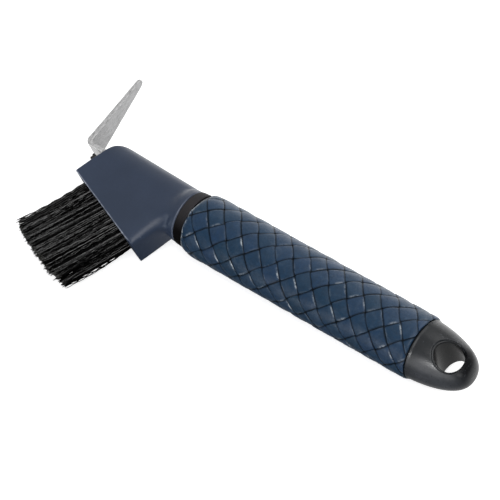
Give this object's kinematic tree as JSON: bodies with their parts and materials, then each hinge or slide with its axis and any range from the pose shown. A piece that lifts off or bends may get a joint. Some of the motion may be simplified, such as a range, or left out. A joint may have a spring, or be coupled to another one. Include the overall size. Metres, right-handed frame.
{
  "type": "hoof pick with brush",
  "caption": "Hand-held hoof pick: bent steel pick and stiff bristle brush in a plastic head, on a round woven-look grip with a hanging hole in the end cap.",
  "frame": {"origin": "centre of the bounding box in X and Y, lowest point of the grip at Z = 0", "axes": "+X along the handle from head to end cap, +Y across the handle towards the pick tip (the brush points the other way), +Z sideways through the flat faces of the head, so the tool lies on its side"},
  "size_m": [0.223, 0.1036, 0.03],
  "materials": {
    "head_plastic": "satin moulded plastic, dark slate navy",
    "pick_steel": "tumbled light grey steel with soft scratches",
    "packing_rubber": "matte black packing",
    "bristle_nylon": "black stiff synthetic bristle with a slight sheen",
    "collar_plastic": "satin black",
    "core_plastic": "hidden black core",
    "grip_leather": "satin navy woven-look synthetic leather",
    "cap_rubber": "smooth satin charcoal rubber"
  },
  "bodies": {
    "root": {"head_block": "head_plastic", "pick": "pick_steel", "slot_packing": "packing_rubber", "tuft_row1_1": "bristle_nylon", "tuft_row1_2": "bristle_nylon", "tuft_row1_3": "bristle_nylon", "tuft_row1_4": "bristle_nylon", "tuft_row1_5": "bristle_nylon", "tuft_row1_6": "bristle_nylon", "tuft_row1_7": "bristle_nylon", "tuft_row2_1": "bristle_nylon", "tuft_row2_2": "bristle_nylon", "tuft_row2_3": "bristle_nylon", "tuft_row2_4": "bristle_nylon", "tuft_row2_5": "bristle_nylon", "tuft_row2_6": "bristle_nylon", "tuft_row2_7": "bristle_nylon", "tuft_row3_1": "bristle_nylon", "tuft_row3_2": "bristle_nylon", "tuft_row3_3": "bristle_nylon", "tuft_row3_4": "bristle_nylon", "tuft_row3_5": "bristle_nylon", "tuft_row3_6": "bristle_nylon", "tuft_row3_7": "bristle_nylon", "collar": "collar_plastic", "handle_core": "core_plastic", "grip_sleeve": "grip_leather", "end_cap": "cap_rubber"}
  },
  "joints": []
}
